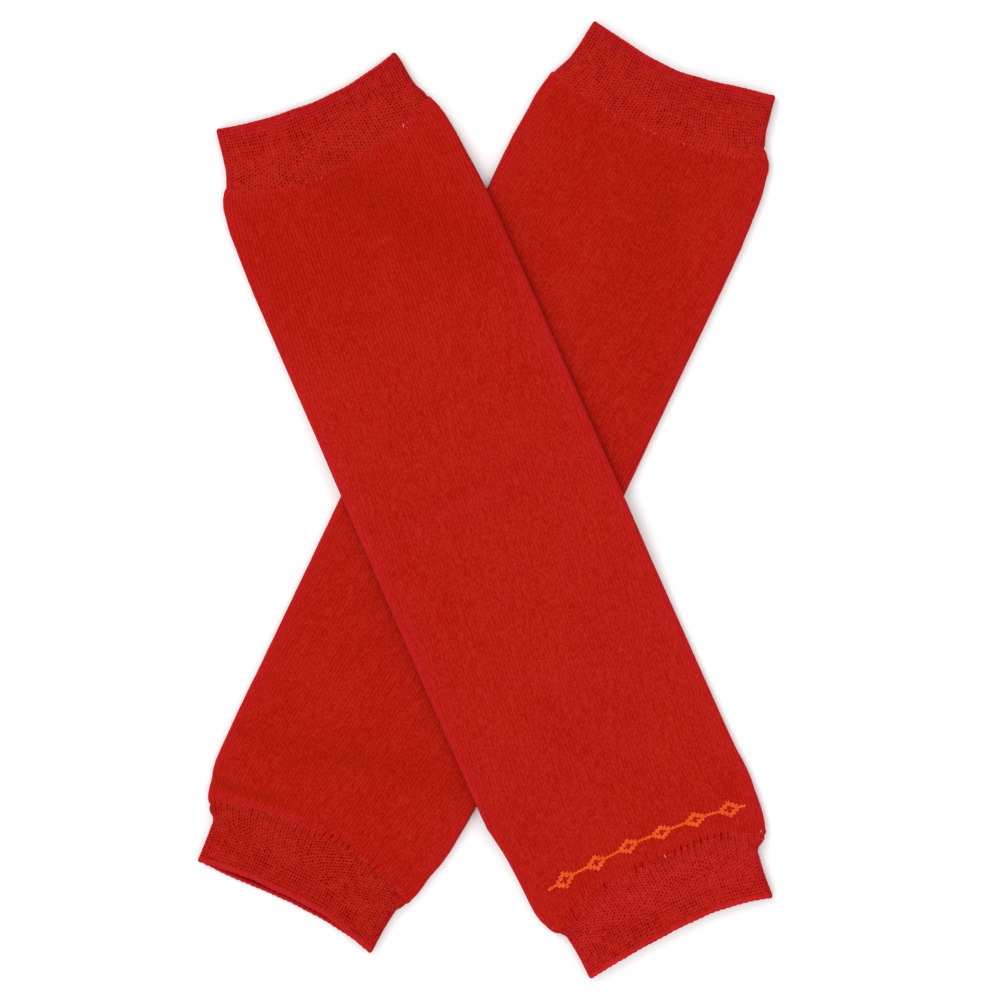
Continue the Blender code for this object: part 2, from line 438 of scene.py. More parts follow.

# %% The red knit
# The dark and darkest colours are painted shade for gaps, holes and the inside. The fold colour is the
# painted sheen of the side folds, also used for a mouth's crimson lip.
LEG_COLOURS = {
    "dark": (0.305, 0.0028, 0.0004), "red": (0.322, 0.0026, 0.0001), "light": (0.421, 0.0166, 0.0096),
    "fold": (0.455, 0.0108, 0.0165), "pit_shade": (0.160, 0.0015, 0.0008),
}
CUFF_COLOURS = {
    "dark": (0.292, 0.0003, 0.0001), "red": (0.370, 0.0068, 0.0030), "light": (0.478, 0.0228, 0.0155),
    "fold": (0.450, 0.0115, 0.0230), "pit_shade": (0.140, 0.0010, 0.0070),
}
# The tint that multiplies the red where the clouds paint shade.
PAINTED_SHADE_TINT = (0.80, 0.86, 0.35, 1.0)


def knit_material(name, colours, stitch_depth):
    """Red cotton knit. The height of a stitch is a half wave along the zigzag course line, times a
    half wave across each of the two legs of its column."""
    material, shader = new_material(name, colours["red"], 0.95, 0.06)
    dark, red, light, fold, pit_shade = ((*colours[key], 1.0) for key in ("dark", "red", "light", "fold", "pit_shade"))
    g = Graph(material)
    stitches = g.nodes.new("ShaderNodeUVMap")
    stitches.uv_map = "stitches"
    split = g.nodes.new("ShaderNodeSeparateXYZ")
    g.feed(split.inputs[0], stitches.outputs["UV"])
    column, course = split.outputs["X"], split.outputs["Y"]
    from_middle = g.math("ABSOLUTE", g.math("SUBTRACT", g.math("FRACT", column), 0.5))
    zigzag = g.math("ADD", course, g.math("MULTIPLY", from_middle, 1.4))
    along = g.math("SINE", g.math("MULTIPLY", g.math("FRACT", zigzag), math.pi))
    across = g.math("SINE", g.math("MULTIPLY", from_middle, 2.0 * math.pi))
    stitch = g.math("MULTIPLY", g.math("POWER", along, 0.6), g.math("POWER", across, 0.5))
    loop = g.chance(g.math("FLOOR", g.math("MULTIPLY", column, 2.0)), g.math("FLOOR", zigzag))

    place = g.nodes.new("ShaderNodeTexCoord").outputs["Object"]
    streak = g.noise(g.vector(column, g.math("MULTIPLY", course, 0.22)), 0.85, 3.0)
    blotch = g.noise(place, 48.0, 3.0)
    fibre = g.noise(place, 2300.0, 3.0)
    # The stitch term paints the crown of each stitch lighter, a painted highlight; the other terms are
    # random unevenness of yarn and dye.
    lit = g.weighted((loop, 1.0), (stitch, 0.35), (streak, 0.60), (blotch, 0.50), (fibre, 0.50))
    colour = g.mix(g.ramp(lit, 0.65, 2.05), red, light)
    # The next steps paint light and shade: the folds' painted sheen with a mouth's crimson lip and the
    # clouds' painted light, the clouds' painted shade, and the painted shade of gaps, holes and the inside,
    # darkest in the deepest.
    colour = g.mix(g.number("fold"), colour, fold)
    colour = g.mix(g.number("light_and_shade"), colour, PAINTED_SHADE_TINT, "MULTIPLY")
    colour = g.mix(g.number("shade"), colour, dark)
    colour = g.mix(g.ramp(g.number("shade"), 1.0, 2.0), colour, pit_shade)
    g.feed(shader.inputs["Base Color"], colour)
    height = g.weighted((stitch, 1.0), (fibre, 0.5))
    g.feed(shader.inputs["Normal"], g.bump(height, stitch_depth * MM, 0.6))
    return material


leg_knit = knit_material("leg_knit", LEG_COLOURS, 0.16)
cuff_knit = knit_material("cuff_knit", CUFF_COLOURS, 0.10)
print("two reds: the leg's, and the cuffs' slightly crimson one")

# %% [markdown]
# These slow clouds are painted light and shade: the red is painted deeper where creases and the lamps
# would leave it in shade, and paler where they would light it. They are listed, as the creases are: each
# is a soft bell across its width that fades out at its ends. A height above 0 is painted shade, and one
# below 0 is painted light. Beside the side folds the red is a lighter crimson, a painted sheen of fibre
# ends.

# %% Slow clouds of painted light and shade
CREASE_COLUMNS = "down across length width height turn"
USUAL_LIGHT_AND_SHADE = {"over_leg": 0.05, "under_leg": 0.30, "over_top_cuff": 0.34, "over_bottom_cuff": -0.04,
              "under_top_cuff": 0.36, "under_bottom_cuff": 0.50}
LIGHT_AND_SHADE_CLOUDS = {
    "over": table(CREASE_COLUMNS, (
        (50, 0, 140, 26, 0.33, 90), (51, 14, 64, 7, 0.42, 34), (31, 0, 26, 6, 0.26, 62),
        (137, 1, 84, 2.6, 0.18, 93), (142.5, 2, 76, 2.6, -0.20, 93), (120, 6, 80, 7, 0.08, 93),
        (295, -4, 64, 6, 0.34, 90), (262, -30, 40, 9, 0.10, 20))),
    "under": table(CREASE_COLUMNS, (
        (40, 8, 34, 8, 0.26, 40), (36, -14, 24, 7, 0.20, -36), (64, 12, 60, 12, 0.14, 0),
        (252, 0, 66, 5, 0.42, 103), (280.6, -27, 25, 1.7, -0.62, 100),
        (278.9, -9, 20, 1.7, -0.50, 88), (277.3, -28, 26, 1.8, 0.70, 95))),
}


def crease_heights(rows, x, down):
    """The sum of soft ridges and troughs: each a bell across its width that fades out at its ends."""
    total = 0.0 * x
    for d, a, length, width, height, turn in zip(*(rows[name] for name in CREASE_COLUMNS.split())):
        c, s = math.cos(math.radians(turn)), math.sin(math.radians(turn))
        along = (down - d) * c + (x - a) * s
        beside = (x - a) * c - (down - d) * s
        total = total + height * np.exp(-(beside / width) ** 2 - (2.0 * along / length) ** 4)
    return total


def light_and_shade_at(tube, around, share):
    """At places of a tube: the share of the folds' painted sheen, a lighter crimson that grows towards the
    outermost edge, and the sum of the clouds there: painted shade above 0 and painted light below 0."""
    run, angle = ring_place(around, USUAL_HALF_WIDTH, tube["wall"] + SLIT / 2.0)
    # The folds' painted sheen: the red next to the side folds is painted a lighter crimson.
    rim = np.clip((np.abs(run) - 0.965) / 0.035, 0.0, 1.0) * np.abs(np.cos(angle)) ** 0.5
    fold_sheen = np.maximum(0.8 * rim, 0.32 * np.clip((np.abs(run) - 0.86) / 0.14, 0.0, 1.0) ** 1.5)
    first, last, across = tube_edges(tube, around)
    down = first + (last - first) * share
    light_and_shade = crease_heights(LIGHT_AND_SHADE_CLOUDS[tube["warmer"]["name"]], across * USUAL_HALF_WIDTH, down) + tube["light_and_shade"]
    return fold_sheen, light_and_shade


print(sum(len(rows["down"]) for rows in LIGHT_AND_SHADE_CLOUDS.values()), "clouds of tone")

# %% [markdown]
# ## The wall of a knitted tube
#
# The wall's profile is one closed line: down the outside, round a lip, up the inside, round the other
# lip. The inside is plain and needs few rows, because only its first few millimetres can be seen, so
# its rows crowd towards the open mouth. The relief functions of the legs and cuffs below say how far
# each point stands off the plain face, how deep in the knit it lies, and how far it strays.

# %% The profile of a knitted wall
LIP_STEPS = 5
WALES = 144
POINTS_PER_WALE = 4


def wall_profile(outer_rows, inner_rows, wall, lips, crowd=0.0):
    """Rows down the outside, round one lip, up the inside and round the other.

    Each row has its share of the way down, its slide past the tube's edge, its depth under the outer
    face, and how much of the outer face's relief it takes. A lip is half an ellipse as deep as the
    wall. crowd brings the inner rows closer together towards the last edge, or the first if negative.
    """
    turn = np.linspace(0.0, math.pi, LIP_STEPS + 2)[1:-1]
    inner = np.linspace(1.0, 0.0, inner_rows)
    inner = 1.0 - (1.0 - inner) ** (1.0 + crowd) if crowd > 0 else inner ** (1.0 - crowd)
    share = np.concatenate((outer_rows, np.ones(turn.size), inner, np.zeros(turn.size)))
    past = np.concatenate((0 * outer_rows, lips[1] * np.sin(turn), 0 * inner, -lips[0] * np.sin(turn)))
    depth = wall * (1.0 - np.cos(turn)) / 2.0
    out = -np.concatenate((0 * outer_rows, depth, wall + 0 * inner, depth[::-1]))
    lip = np.cos(turn / 2) ** 2
    outer = np.concatenate((1 + 0 * outer_rows, lip, 0 * inner, lip[::-1]))
    return share, past, out, outer


def bake_rows(share, outer_count):
    """How far each row lies up the flat map: the outside takes most of it, lips and inside the rest."""
    rest = share.size - outer_count
    return np.concatenate((np.linspace(0.004, 0.86, outer_count), np.linspace(0.865, 0.992, rest), [0.996]))


def knit_tube(name, tube, profile, outer_count, relief, material):
    """One knitted tube as a closed grid, four points to each column of stitches."""
    share, past, out, outer = (a[:, None] for a in profile)
    columns = WALES * POINTS_PER_WALE
    wale = np.arange(columns)[None, :] / POINTS_PER_WALE
    height, shade, crimson, sideways, slide = relief(wale, share, outer)
    around = (wale + sideways) / WALES
    points = lay_tube(tube, around, share, past + slide, out + height).reshape(-1, 3)
    faces, row, column = ring_grid_faces(share.size, columns)
    if signed_volume(points, [faces]) < 0:
        faces, row, column = faces[:, ::-1], row[:, ::-1], column[:, ::-1]
    piece = mesh_piece(name, points, [faces], material, (tube["node"],))
    share_up = np.concatenate((share.ravel(), share.ravel()[:1]))
    add_map(piece, "stitches", column / POINTS_PER_WALE, share_up[row] * tube["courses"])
    add_map(piece, "OFBake", 0.004 + 0.992 * column / columns, bake_rows(share.ravel(), outer_count)[row])
    # The numbers the material reads: painted shade; the folds' painted sheen, the lip's crimson and the
    # clouds' painted light; and the clouds' painted shade.
    add_number(piece, "shade", np.broadcast_to(shade, (share.size, columns)))
    fold_sheen, light_and_shade = light_and_shade_at(tube, around, share)
    add_number(piece, "fold", np.clip(np.maximum(fold_sheen, crimson) - np.minimum(light_and_shade, 0.0), 0.0, 1.0))
    add_number(piece, "light_and_shade", np.clip(light_and_shade, 0.0, 1.0))
    return piece


print("each tube has", WALES * POINTS_PER_WALE, "points round it")

# %% [markdown]
# ## The legs
#
# Plain jersey shows columns of V-shaped stitches on its right side, called wales. There are 144 round
# each leg, about 1.2 mm apart, and they are real ridges here. Real wales aren't ruler-straight, so
# they wander and swell a little. The twist of the yarn also makes plain jersey spiral: its wales lean
# about five degrees off the leg's own axis, the same way on both legs. They show most clearly in the
# over leg's upper part and at the under leg's bottom end, where the gaps between them get more painted
# shade.
#
# Where the wide leg is linked to the narrower cuff it is gathered, and where the machine's tension
# drew it in, short creases run in from the folds. They are listed as soft ridges and troughs:
# the middle of each, how long, wide and high it is, and how far it turns from the way down, in degrees.

# %% Creases of the legs
LEG_CREASES = {
    "over": table(CREASE_COLUMNS, (
        (29, -30, 12, 1.6, 0.22, 12), (30, -19, 14, 1.9, -0.20, -6), (31, -8, 11, 1.5, 0.18, 4),
        (30, 6, 15, 2.1, -0.18, -3), (29, 17, 12, 1.6, 0.20, -9), (26, 31, 13, 1.7, -0.22, -14),
        (34, 2, 16, 5.0, -0.30, 64), (52, 15, 52, 5.5, -0.35, 34), (48, -26, 30, 4.0, 0.20, 12),
        (139.5, 2, 78, 2.8, -0.55, 93), (146, -4, 70, 3.4, 0.18, 93), (104, 18, 50, 6.0, -0.20, -14),
        (178, -14, 60, 6.5, 0.20, 10), (220, 16, 56, 5.5, -0.18, -8), (238, -22, 30, 4.0, -0.22, 30),
        (256, -37, 15, 2.2, -0.45, 62), (264, -34, 13, 1.8, 0.42, 70), (274, -36, 10, 1.3, -0.40, 76),
        (262, 39, 12, 2.0, -0.36, -66), (271, 37, 11, 1.5, 0.34, -74), (278, 38, 8, 1.1, -0.34, -80),
        (270, -15, 11, 1.8, 0.20, 14), (269, 2, 12, 1.9, -0.18, 3), (269, 17, 11, 1.7, 0.20, -10),
    )),
    "under": table(CREASE_COLUMNS, (
        (27, -32, 13, 1.7, -0.24, 10), (29, -18, 12, 1.6, 0.20, 5), (29, -5, 14, 2.0, -0.18, -4),
        (28, 9, 12, 1.7, 0.22, -6), (26, 22, 13, 1.8, -0.22, -10), (22, 33, 12, 1.6, 0.26, -16),
        (41, 7, 26, 5.0, -0.34, 40), (37, -15, 20, 4.0, -0.26, -36), (58, 26, 36, 4.5, 0.22, -14),
        (82, -14, 40, 5.0, -0.18, 8), (222, 20, 40, 5.5, 0.18, -9), (252, 0, 60, 4.6, -0.50, 103),
        (266, -14, 44, 3.4, 0.40, 98), (240, 26, 26, 4.6, 0.22, 103), (262, -38, 14, 2.0, 0.38, 66),
        (270, -38, 12, 1.6, -0.40, 74), (278, -38, 9, 1.2, 0.34, 80), (268, 33, 12, 1.8, -0.36, -68),
        (278, 32, 10, 1.4, 0.36, -76), (273, -16, 11, 1.8, -0.20, 12), (273, 0, 12, 1.9, 0.20, 2),
        (275, 14, 11, 1.7, -0.20, -9),
    )),
}
BRIDGE_START = 38.0


def leg_lift(warmer):
    """The front layer of a leg: its creases, a slow swell and, where the over warmer climbs the under
    one, the gentler slope of cloth that spans the step."""
    rows = LEG_CREASES[warmer["name"]]
    seed = 11 if warmer["climbs"] else 12

    def lift(x, down, across, share):
        swell = 0.15 * uneven(seed, (across + 1.0) / 4.0, share, 12, 9)
        rise = crease_heights(rows, x, down) + swell * np.sin(np.pi * np.clip(share, 0.0, 1.0))
        if warmer["climbs"]:
            place = x + outline_at(warmer, down)[0]
            rise = rise + climb(place, down, BRIDGE_START) - climb(place, down)
        return rise

    return lift


print(sum(len(rows["down"]) for rows in LEG_CREASES.values()), "creases placed by hand on the legs")

# %% The jersey legs
LEG_COURSES = 408
LEG_LENGTH = 253.0
WALE_WIDTH = 1.17
WALE_DEPTH = 0.09
SEAM_LIP = 0.35
SEAM_SLANT = 16.0
LEG_SEEDS = {"over": 100, "under": 200}
SPIRAL = 19.0
# How much painted shade the gaps between wales get, at shares of the way down each leg.
COLUMN_PLACES = (0.0, 0.03, 0.16, 0.30, 0.88, 1.0)
COLUMN_SHADES = {"over": (0.16, 0.42, 0.42, 0.04, 0.02, 0.05),
                 "under": (0.06, 0.15, 0.11, 0.04, 0.20, 0.15)}
LEG_ROW_PLACES = {"over": (26, 48, 54), "under": (24, 30, 54)}
SEAM_GAPS = {"over": ((-31, -27), (-18, -15), (-5, -2), (5, 29)), "under": ((-9, -5), (2, 12), (20, 24))}


def loops_apart(name, number):
    """How far, from 0 to 1, the loops of a bottom seam stand apart at each gap between wales: only at
    every second gap, unevenly, in a few stretches. They are read off the front; the back has the same."""
    number = np.mod(number, WALES)
    x = np.where(number < WALES / 2, WALES / 4 - number, number - 3 * WALES / 4) * WALE_WIDTH
    apart = sum(((x > start) & (x < end)).astype(float) for start, end in SEAM_GAPS[name])
    return np.clip(apart, 0.0, 1.0) * (np.mod(number, 2.0) < 0.5) * (0.82 + 0.28 * np.sin(7.3 * number))


def seam_gap(beside, up):
    """The slanting dark gap between two loops that stand apart: a bell round a slanting line. beside
    and up are measured in millimetres from the gap's middle on the seam."""
    across = beside + up * math.tan(math.radians(SEAM_SLANT))
    return np.exp(-((across / 0.36) ** 2) - ((up - 0.1) / 0.85) ** 2)


def leg_rows(count):
    """Row places down a leg: close together near its seams, where it is gathered, and wide between."""
    first, middle, last = count
    return np.concatenate((np.linspace(0.0, 0.06, first, endpoint=False),
                           np.linspace(0.06, 0.885, middle, endpoint=False),
                           np.linspace(0.885, 1.0, last)))


def wander(seed, wale, share):
    """How far a column of stitches strays sideways, in columns: a little and slowly, and evenly round
    the leg like a screw's thread, so that it comes straight again at the bottom seam."""
    return 0.16 * uneven(seed, wale / WALES, share, 24, 14) - SPIRAL * (1.0 - share)


def jersey_relief(name):
    """Rounded wales: a half sine across each one, to a low power so that the gaps are narrow, with a
    small dip down its middle. Uneven tension makes them wander sideways and change in height, and
    near the seams the gaps between them open. Where the seam's loops stand apart, a slanting dimple
    runs up from the seam."""
    seed = LEG_SEEDS[name]

    def relief(wale, share, outer):
        number = np.floor(wale + 0.5)
        phase = np.mod(wale, 1.0)
        to_gap = np.minimum(phase, 1.0 - phase)
        ends = np.exp(-np.minimum(share, 1.0 - share) / 0.014)
        ridge = np.sin(np.pi * phase) ** 0.7 - 0.20 * np.exp(-(((phase - 0.5) / 0.16) ** 2))
        tension = 1.0 + 0.5 * uneven(seed, number / WALES, share, WALES, 60) + 0.4 * ends
        gap = np.exp(-((to_gap / 0.20) ** 2))
        # How strongly the gaps between wales are painted darker: a painted shade, stronger near the seams
        # and where the table gives more.
        drawn = np.interp(share, COLUMN_PLACES, COLUMN_SHADES[name])
        deep = 0.42 + drawn + 0.38 * uneven(seed + 1, number / WALES, share, WALES, 110) + 0.20 * ends
        up = (1.0 - share) * LEG_LENGTH
        dimple = loops_apart(name, number) * seam_gap((wale - number) * WALE_WIDTH, up)
        height = outer * (WALE_DEPTH * tension * (ridge - 1.0) + 0.10 * ends - 0.45 * dimple)
        # Painted shade: the gaps between wales, darker still in the seam's dimples, and the inside of the
        # leg.
        shade = outer * (np.clip(gap * deep, 0.0, 1.0) + 1.2 * dimple) + (1.0 - outer) * 0.5
        return height, shade, 0.0 * share, wander(seed + 2, wale, share), 0.0 * wale

    return relief


def leg_tube(warmer):
    """What lay_tube needs to know about a leg."""
    node = warmer["name"] + "_leg"
    return {"warmer": warmer, "node": node, "wall": LEG_WALL, "lift": leg_lift(warmer),
            "light_and_shade": USUAL_LIGHT_AND_SHADE[node], "courses": LEG_COURSES,
            "ends": ("top_seam", "bottom_seam"), "inset": (SEAM_LIP, SEAM_LIP)}


leg_tubes, legs = {}, {}
for warmer in (OVER, UNDER):
    name = warmer["name"]
    rows = leg_rows(LEG_ROW_PLACES[name])
    leg_tubes[name] = leg_tube(warmer)
    legs[name] = knit_tube(name + "_leg_knit", leg_tubes[name],
                           wall_profile(rows, 12, LEG_WALL, (SEAM_LIP, SEAM_LIP)), rows.size,
                           jersey_relief(name), leg_knit)

# %% [markdown]
# ## The cuffs
#
# The cuffs are a mesh knit: stitches are tucked together so that a small hole is left at each wale
# every two courses. Near the mouth the holes of neighbouring wales sit side by side; towards the seam
# they slip against each other, like bricks. The holes are too small to see through, because the cloth
# behind them is the same red, so they are deep dimples in the outer face. Where a bottom cuff bends
# down from its seam the rows are squeezed together and the holes close.
#
# The table gives, at shares of the way from the mouth to the seam, how many rows of holes have been
# passed, how open the holes are, how far odd wales slip against even ones, and how much the mesh is
# pulled askew.

# %% The openwork of the cuffs
POINTS_PER_HOLE_ROW = 5
HOLE_DEPTH = 0.52
NET_DEPTH = 0.12
MOUTH_LIP = 0.75
CUFF_LENGTH = 23.0
HOLE_TABLE = "from_mouth hole_row open slip tilt"
HOLES = {
    "over_top": table(HOLE_TABLE, (
        (0.0, 0.3, 0.8, 0.0, 0.2), (0.30, 6.2, 1.0, 0.0, 0.2), (0.42, 8.5, 0.9, 0.15, 0.3),
        (0.62, 12.2, 1.0, 0.5, 0.3), (0.92, 17.9, 0.95, 0.5, 0.4), (1.0, 19.6, 0.8, 0.4, 0.6))),
    "over_bottom": table(HOLE_TABLE, (
        (0.0, 0.0, 0.85, 0.0, 0.2), (0.28, 5.4, 0.9, 0.0, 0.2), (0.45, 8.4, 0.92, 0.35, 0.3),
        (0.60, 11.0, 1.0, 0.5, 0.3), (0.74, 13.6, 0.95, 0.5, 0.4), (0.82, 15.5, 0.85, 0.5, 0.95),
        (1.0, 20.6, 0.82, 0.5, 1.0))),
    "under_top": table(HOLE_TABLE, (
        (0.0, 0.3, 0.75, 0.0, 0.2), (0.25, 5.2, 0.9, 0.05, 0.2), (0.42, 8.6, 0.85, 0.28, 0.3),
        (0.70, 14.2, 0.9, 0.25, 0.3), (0.92, 18.5, 0.85, 0.4, 0.4), (1.0, 20.1, 0.7, 0.4, 0.6))),
    "under_bottom": table(HOLE_TABLE, (
        (0.0, 0.0, 0.9, 0.0, 0.2), (0.30, 5.9, 1.05, 0.0, 0.2), (0.45, 8.7, 0.95, 0.3, 0.3),
        (0.62, 12.0, 1.0, 0.5, 0.3), (0.80, 15.7, 1.05, 0.5, 0.4), (0.88, 17.5, 1.0, 0.5, 0.8),
        (1.0, 20.8, 0.95, 0.5, 0.9))),
}
PLAIN_LIP = {"top": -0.016, "bottom": 0.020}
CRIMSON_LIP = {"top": 0.18, "bottom": 0.05}
SEAM_FALL, SEAM_FALL_REACH = 0.56, 0.16
FAN_MIDDLE = 37.0
HOLE_HALF_WIDTH, HOLE_HALF_HEIGHT = 0.31, 0.26
print("rows of holes:", {name: float(rows["hole_row"][-1]) for name, rows in HOLES.items()})

# %% [markdown]
# Each dimple is worked out from the nearest hole, so that no list of holes is needed. Its size and its
# row stray a little, because no two holes of a stretched mesh are alike. The same functions say how
# deep a point lies in the knit, which paints the holes darker as painted shade, and where the lip turns
# crimson.

# %% The relief of the mesh
def cuff_rows(holes):
    """Row places down a cuff's outside, evenly spaced between one row of holes and the next."""
    count = int(round(holes["hole_row"][-1] * POINTS_PER_HOLE_ROW)) + 1
    return np.interp(np.linspace(0.0, holes["hole_row"][-1], count), holes["hole_row"], holes["from_mouth"])


def hole_bells(wale, share, from_mouth, seed, holes):
    """A dimple is a bell of the distance from its wale's middle and from the nearest hole row. The rows
    of odd wales slip against those of even ones, and where the mesh is pulled askew the dimples
    tilt, one way in each half of the layer. Also gives the hole row and the slip at each place."""
    hole_row, wide, slip, tilt = (np.interp(from_mouth, holes["from_mouth"], holes[heading])
                                  for heading in ("hole_row", "open", "slip", "tilt"))
    number = np.floor(wale)
    odd = np.mod(number, 2.0)
    wander_down = 0.16 * uneven(seed, number / WALES, share, WALES, 26)
    wander_slow = 0.35 * uneven(seed + 5, wale / WALES, share, 16, 4)
    fan = np.sin(4.0 * np.pi * (FAN_MIDDLE - wale) / WALES)
    pull = 1.5 * np.tanh(2.6 * fan) + 0.5 * uneven(seed + 7, wale / WALES, share, 14, 2)
    askew = tilt ** 2 * (np.mod(wale, 1.0) - 0.5) * pull
    row = hole_row + odd * slip + wander_down + wander_slow + askew
    beside = (np.mod(wale, 1.0) - 0.5) / (HOLE_HALF_WIDTH + 0.16 * np.clip(tilt - 0.4, 0.0, 1.0))
    above = (np.mod(row, 1.0) - 0.5) / (HOLE_HALF_HEIGHT + 0.10 * (1.0 - slip * 2.0))
    size = wide * (1.0 + 0.34 * uneven(seed + 1, number / WALES, share, WALES, 24)) * (1.0 - 0.16 * odd)
    size = size * (1.0 + 0.18 * uneven(seed + 6, wale / WALES, share, 20, 5)
                   + 0.16 * uneven(seed + 8, wale / WALES, share, 56, 10))
    return np.exp(-(beside ** 2 + above ** 2)) * size, row, slip


def mesh_relief(key, seed, holes):
    """Deep round dimples in a net that sags a little between its hole rows and its wales, with painted
    shade in the holes and in the columns between wales. The face falls towards the seam, the mouth's
    edge is scalloped, and the layer behind an open mouth is painted darker inwards, a painted shadow."""
    name, end = key.split("_")

    def relief(wale, share, outer):
        from_mouth = share if end == "top" else 1.0 - share
        hole, row, slip = hole_bells(wale, share, from_mouth, seed, holes)
        lip = smooth_step((from_mouth - PLAIN_LIP[end]) / 0.03)
        join = smooth_step((1.0 - from_mouth) / 0.008)
        past_seam = (1.0 - from_mouth) * CUFF_LENGTH
        gap = loops_apart(name, np.floor(wale + 0.5)) * (end == "bottom")
        gap = gap * seam_gap((wale - np.floor(wale + 0.5)) * WALE_WIDTH, -past_seam)
        net = 0.5 + 0.5 * np.cos(2.0 * np.pi * row)
        rib = 0.5 + 0.5 * np.cos(2.0 * np.pi * np.mod(wale, 1.0))
        level = np.maximum(rib, 0.75 * net)
        scallop = np.abs(np.sin(np.pi * (wale + 0.5) / 2.0))
        scallop = scallop + 0.35 * uneven(seed + 3, wale / WALES, share, 90, 1)
        fall = SEAM_FALL * (1.0 - smooth_step((1.0 - from_mouth) / SEAM_FALL_REACH)) + 0.3 * gap
        height = outer * (-HOLE_DEPTH * hole * lip * join
                          - NET_DEPTH * (1.0 - level) * (0.4 + 0.6 * lip) - fall)
        # Painted shade: the columns between wale strands, the holes darker, and the seam's gaps darkest.
        column = 0.34 * (1.0 - rib) * (1.0 - 1.2 * slip) * (0.5 + 0.5 * lip)
        slack = 0.12 * uneven(seed + 9, wale / WALES, share, 70, 12)
        deepest = np.maximum(hole * 1.2 * lip * join, column)
        shade = outer * (np.clip(deepest + slack, 0.0, 1.1) + 1.1 * gap)
        inside = (1.0 - outer) * np.exp(-from_mouth / 0.3)
        height = height - 0.22 * inside * (1.0 - rib)
        # Painted shadow: the inside of an open mouth is painted darker inwards from under the front lip,
        # down to the darkest shade, with painted shade between its ribs.
        slit_shadow = 60.0 * (from_mouth - 0.014) * (from_mouth < 0.95)
        shade = shade + (1.0 - outer) * np.clip(0.10 + 0.45 * (1.0 - rib) + slit_shadow, 0.0, 2.0)
        crimson = np.exp(-((from_mouth / CRIMSON_LIP[end]) ** 2))
        crimson = crimson * (0.85 if key == "under_bottom" else 0.6)
        slide = (1.0 - lip) * 0.20 * (scallop - 0.6) * (-1.0 if end == "top" else 1.0)
        sway = 0.45 * uneven(seed + 11, wale / WALES, 0.5, 26, 1) * (np.sin(2.0 * np.pi * wale / WALES) > 0)
        slide = slide + (1.0 - smooth_step(from_mouth / 0.12)) * sway * (key == "under_bottom")
        return height, shade, crimson, 0.10 * uneven(seed + 2, wale / WALES, share, 30, 6), slide

    return relief


print("the cuffs' dimples are", HOLE_DEPTH, "mm deep")

# %% [markdown]
# A cuff is drawn in where it leaves the wide leg, so it ruckles at its sides. Its front layer gets its
# own short creases there, a slow ripple, and, on the under warmer's bottom cuff, a lip that stands a
# little open in the middle.

# %% The cuffs
CUFF_CREASES = {
    "over_top": table(CREASE_COLUMNS, ((14, -33, 9, 1.4, -0.30, 48), (11, -31, 9, 1.5, 0.22, 54),
                                       (13, 33, 9, 1.4, -0.28, -46), (18, 12, 9, 2.4, 0.14, -8))),
    "over_bottom": table(CREASE_COLUMNS, (
        (284, -31, 12, 1.2, -0.45, 68), (287, -28, 12, 1.3, 0.35, 66), (290, -30, 10, 1.3, -0.28, 62),
        (282, 36, 10, 1.0, 0.30, -80), (285, 33, 12, 1.1, -0.50, -72), (288, 32, 10, 1.3, 0.35, -64),
        (282, -8, 26, 3.0, -0.35, 86), (286, 6, 40, 3.2, 0.22, 88))),
    "under_top": table(CREASE_COLUMNS, ((15, -33, 11, 1.1, -0.36, 44), (17, -31, 10, 1.1, 0.30, 46),
                                        (19, -32, 9, 1.0, -0.30, 48), (11, 33, 9, 1.4, -0.28, -46))),
    "under_bottom": table(CREASE_COLUMNS, (
        (287, -33, 11, 1.2, -0.42, 66), (290, -31, 11, 1.3, 0.32, 64), (285, 31, 10, 1.1, 0.30, -44),
        (288, 29, 12, 1.1, -0.46, -48), (291, 28, 11, 1.1, 0.34, -44), (285, -5, 34, 3.2, -0.30, 88))),
}


def cuff_lift(warmer, end):
    """The front layer of a cuff: creases, a slow ripple, and the rise of an open mouth."""
    key = warmer["name"] + "_" + end
    seed = 31 + 2 * (warmer["name"] == "over") + (end == "top")
    gape = warmer["gape"] if end == "bottom" else 0.0

    def lift(x, down, across, share):
        held = np.sin(np.pi * np.clip(share, 0.0, 1.0)) ** 0.6
        ripple = 0.12 * uneven(seed, (across + 1.0) / 4.0, share, 36, 3)
        opening = gape * (1.0 - across ** 2) * np.clip(share, 0.0, 1.0) ** 2
        opening = opening * (1.0 + 0.35 * uneven(seed + 9, (across + 1.0) / 4.0, 0.5, 22, 1))
        return (crease_heights(CUFF_CREASES[key], x, down) + ripple) * held + opening

    return lift


def cuff_tube(warmer, end):
    """What lay_tube needs to know about a cuff."""
    top = end == "top"
    node = f"{warmer['name']}_{end}_cuff"
    return {"warmer": warmer, "node": node, "wall": CUFF_WALL, "lift": cuff_lift(warmer, end),
            "light_and_shade": USUAL_LIGHT_AND_SHADE[node], "courses": 36,
            "ends": ("top_mouth", "top_seam") if top else ("bottom_seam", "bottom_mouth"),
            "inset": (MOUTH_LIP, SEAM_LIP) if top else (SEAM_LIP, MOUTH_LIP)}


